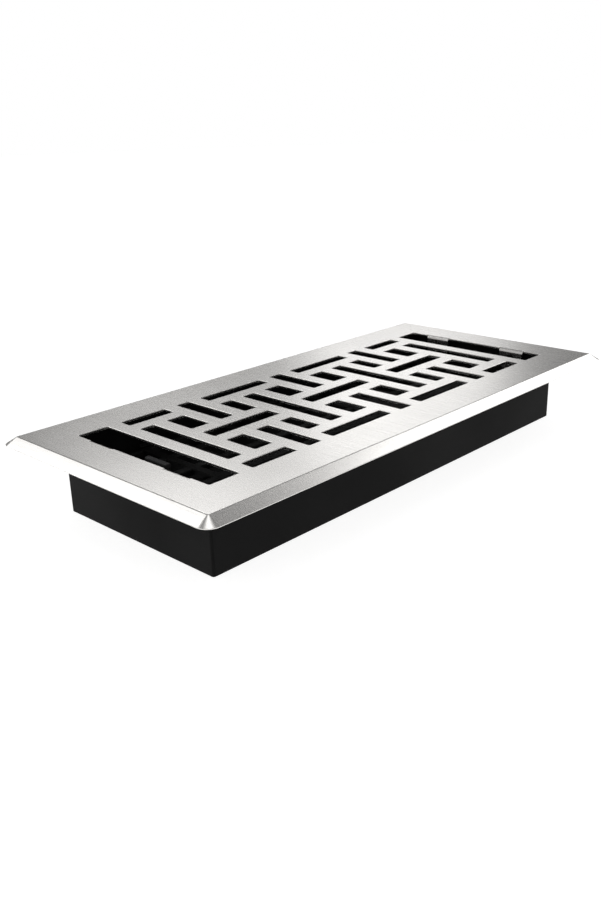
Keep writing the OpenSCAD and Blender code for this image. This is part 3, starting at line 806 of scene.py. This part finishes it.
class FLOORVENT_OT_lever(bpy.types.Operator):
    """Builds the thumb lever with its ribbed finger tab and the fork that straddles the link bar"""
    bl_idname = "floor_vent.lever"
    bl_label = "Thumb lever"

    def execute(self, context):
        p = context.scene.vent_lever
        low, high = LEVER_LOW.copy(), LEVER_HIGH.copy()
        tab_low = np.array([low[0], low[1], high[2] - p.tab_h])
        tab, fans, grid = grip_tab(tab_low, high, p.tab_round, p.ribs, p.groove)
        h, g, mid = p.stem_w / 2, p.fork_w / 2, (low[1] + high[1]) / 2
        top, saddle = high[2] - p.tab_h / 2, low[2] + p.fork_h
        outline = [[h, top], [-h, top], [-h, low[2]], [-g, low[2]], [-g, saddle], [g, saddle], [g, low[2]], [h, low[2]]]
        path, normals = filleted(outline, np.full(8, 0.25 * MM), 3)
        stem = upright_plate(path, normals, mid - p.stem_t / 2, mid + p.stem_t / 2, 0.2 * MM)
        points = np.concatenate([stem[0], tab])
        triangles = np.concatenate([stem[2], fans + len(stem[0])])
        quads = np.concatenate([stem[3], grid + len(stem[0])])
        lever = mesh_object("thumb_lever_moulding", points, None, triangles, quads)
        lever.data.materials.append(plastic_material("lever_plastic", context.scene.vent_finish.lever,
                                                     context.scene.vent_finish, 0.35, 0.01))
        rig.replaces(lever, "thumb_lever")
        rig.ride(lever, "lever")
        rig.slot(lever, "lever_plastic")
        return {"FINISHED"}


class FLOORVENT_OT_box(bpy.types.Operator):
    """Dresses the moulded damper box and rounds its edges"""
    bl_idname = "floor_vent.box"
    bl_label = "Damper box"

    def execute(self, context):
        f = context.scene.vent_finish
        middle, half = (BOX_LOW + BOX_HIGH) / 2, (BOX_HIGH - BOX_LOW) / 2
        edges = {"Half Size": tuple(half), "Middle": tuple(middle), "Width": 0.0007}
        dress("damper_box", plastic_material("box_plastic", f.box, f, 0.09, 0.004, edges))
        soften("damper_box", f.soft_edge)
        return {"FINISHED"}


class FLOORVENT_OT_grid(bpy.types.Operator):
    """Dresses the damper grid and the link bar"""
    bl_idname = "floor_vent.grid"
    bl_label = "Grid and link bar"

    def execute(self, context):
        f = context.scene.vent_finish
        material = plastic_material("grid_plastic", f.grid, f, 0.12, 0.006)
        dress("damper_grid", material)
        dress("link_bar", material)
        return {"FINISHED"}


class FLOORVENT_OT_blades(bpy.types.Operator):
    """Dresses the fourteen louvre blades"""
    bl_idname = "floor_vent.blades"
    bl_label = "Louvre blades"

    def execute(self, context):
        f = context.scene.vent_finish
        material = plastic_material("blade_plastic", f.grid, f, 0.12, 0.006)
        for louvre in LOUVRES:
            dress(louvre, material)
        return {"FINISHED"}


class FLOORVENT_OT_stage(bpy.types.Operator):
    """Sets up the pale floor, the soft studio light and the camera"""
    bl_idname = "floor_vent.stage"
    bl_label = "Studio"

    def execute(self, context):
        s = context.scene.vent_studio
        studio_floor(s)
        studio_world(context.scene, s)
        camera = bpy.data.cameras.new("camera")
        camera.lens = s.camera_lens
        camera.clip_start, camera.clip_end = 0.01, 50
        placed = bpy.data.objects.new("camera", camera)
        placed.location, placed.rotation_euler = s.camera_place, s.camera_turn
        context.scene.collection.objects.link(placed)
        context.scene.camera = placed
        context.scene.view_settings.view_transform = "Standard"
        return {"FINISHED"}


def studio_floor(s):
    """A round floor. Its colour takes the light and the shadow, and eyes and metal see it lifted to white."""
    turn = np.linspace(0, 2 * np.pi, 96, endpoint=False)
    points = np.stack([np.cos(turn), np.sin(turn), np.zeros(96)], 1) * s.floor_radius
    mesh = bpy.data.meshes.new("studio_floor")
    mesh.from_pydata(points.tolist(), [], [list(range(96))])
    floor = bpy.data.objects.new("studio_floor", mesh)
    bpy.context.scene.collection.objects.link(floor)
    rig.stage(floor)
    material = bpy.data.materials.new("studio_floor")
    material.use_nodes = True
    tree = material.node_tree
    tree.nodes.remove(tree.nodes["Principled BSDF"])
    make = maker(tree)
    diffuse = make("BsdfDiffuse", {"Color": tuple(s.floor) + (1,)})
    ray = make("LightPath").outputs
    seen = math_node(make, "MAXIMUM", ray["Is Camera Ray"], math_node(
        make, "MAXIMUM", ray["Is Glossy Ray"], ray["Is Transmission Ray"]))
    lift = make("Emission", {"Color": (1, 1, 1, 1), "Strength": math_node(make, "MULTIPLY", seen, s.floor_lift)})
    both = make("AddShader", {0: diffuse.outputs[0], 1: lift.outputs[0]})
    tree.links.new(both.outputs[0], tree.nodes["Material Output"].inputs["Surface"])
    mesh.materials.append(material)


def soft_window_group():
    """Softbox in the studio's surroundings: one inside a window of azimuth and elevation, fading at its sides."""
    group, make, start, end = node_group(
        "soft_window", [("Azimuth", "NodeSocketFloat", 0.0), ("Elevation", "NodeSocketFloat", 0.5),
                        ("Half Width", "NodeSocketFloat", 0.2), ("Half Height", "NodeSocketFloat", 0.2),
                        ("Softness", "NodeSocketFloat", 0.1)], [("Mask", "NodeSocketFloat")])
    x, y, z = make("SeparateXYZ", {0: make("TexCoord").outputs["Generated"]}).outputs
    azimuth = math_node(make, "SUBTRACT", math_node(make, "ARCTAN2", y, x), start.outputs["Azimuth"])
    sideways = make("Math", {0: azimuth, 1: math.pi, 2: -math.pi}, operation="WRAP").outputs[0]
    upwards = math_node(make, "SUBTRACT", math_node(make, "ARCSINE", z), start.outputs["Elevation"])
    masks = []
    for offset, half in ((sideways, "Half Width"), (upwards, "Half Height")):
        off = math_node(make, "ABSOLUTE", offset)
        fade = math_node(make, "MULTIPLY", start.outputs["Softness"], 0.5)
        rim = math_node(make, "ADD", start.outputs[half], fade)
        full = math_node(make, "SUBTRACT", start.outputs[half], fade)
        masks.append(make("MapRange", {0: off, 1: rim, 2: full}, interpolation_type="SMOOTHSTEP").outputs[0])
    group.links.new(math_node(make, "MULTIPLY", *masks), end.inputs["Mask"])
    return group


# Softboxes around the object: azimuth from +X towards +Y, elevation, half width, half height and softness in
# degrees, and level. The first two stand behind the grate and show in its face, the next two show in its bevels,
# and the last two fill in from the front and from above.
SOFTBOXES = (
    (127.2, 18.7, 6.4, 5.2, 4.3, 1.65),
    (142.0, 31.5, 7.9, 6.0, 12.3, 2.55),
    (195.7, 36.1, 12.3, 17.0, 6.8, 1.90),
    (84.0, 32.0, 19.3, 13.2, 2.0, 1.60),
    (300.0, 20.0, 80.0, 34.0, 50.0, 0.35),
    (0.0, 90.0, 180.0, 14.0, 16.0, 1.60),
)


def studio_world(scene, s):
    """Soft light all round: a plain fill with large softboxes, which the camera sees as plain white."""
    world = bpy.data.worlds.new("studio")
    scene.world = world
    world.use_nodes = True
    tree = world.node_tree
    make = maker(tree)
    background = tree.nodes["Background"]
    soft_window_group()
    level = None
    for *angles, power in SOFTBOXES:
        node = tree.nodes.new("ShaderNodeGroup")
        node.node_tree = bpy.data.node_groups["soft_window"]
        for socket, angle in zip(node.inputs, angles):
            socket.default_value = math.radians(angle)
        shine = math_node(make, "MULTIPLY", node.outputs[0], power)
        level = math_node(make, "ADD", shine, s.fill if level is None else level)
    ray = make("LightPath").outputs["Is Camera Ray"]
    strength = make("Mix", {0: ray, 2: level, 3: 1.0}).outputs[0]
    tree.links.new(strength, background.inputs["Strength"])
    background.inputs["Color"].default_value = (1, 1, 1, 1)


class FLOORVENT_PT_panel(bpy.types.Panel):
    """Lists the builders in the 3D view's sidebar"""
    bl_label = "Floor Vent"
    bl_idname = "FLOORVENT_PT_panel"
    bl_space_type = "VIEW_3D"
    bl_region_type = "UI"
    bl_category = "Floor Vent"

    def draw(self, context):
        for operator in OPERATORS:
            self.layout.operator(operator.bl_idname)
        for group in ("vent_plate", "vent_lever", "vent_finish", "vent_studio"):
            settings = getattr(context.scene, group)
            column = self.layout.column(heading=type(settings).__doc__)
            for key in type(settings).__annotations__:
                column.prop(settings, key)


OPERATORS = (FLOORVENT_OT_groups, FLOORVENT_OT_faceplate, FLOORVENT_OT_lever, FLOORVENT_OT_box,
             FLOORVENT_OT_grid, FLOORVENT_OT_blades, FLOORVENT_OT_stage)
SETTINGS = {"vent_plate": PlateSizes, "vent_lever": LeverSizes, "vent_finish": Finishes, "vent_studio": Studio}


def register():
    for cls in (*SETTINGS.values(), *OPERATORS, FLOORVENT_PT_panel):
        bpy.utils.register_class(cls)
    for key, cls in SETTINGS.items():
        setattr(bpy.types.Scene, key, bpy.props.PointerProperty(type=cls))


def unregister():
    for key in SETTINGS:
        delattr(bpy.types.Scene, key)
    for cls in (FLOORVENT_PT_panel, *reversed(OPERATORS), *reversed(SETTINGS.values())):
        bpy.utils.unregister_class(cls)


def main():
    """Registers the add-on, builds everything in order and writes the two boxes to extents.json."""
    register()
    for operator in OPERATORS:
        getattr(bpy.ops.floor_vent, operator.bl_idname.split(".")[1])()
    low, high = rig.bounds()
    with open("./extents.json", "w") as file:
        json.dump({"cad": [CAD_LOW.tolist(), CAD_HIGH.tolist()], "visual": [list(low), list(high)]}, file)


if __name__ == "__main__":
    main()
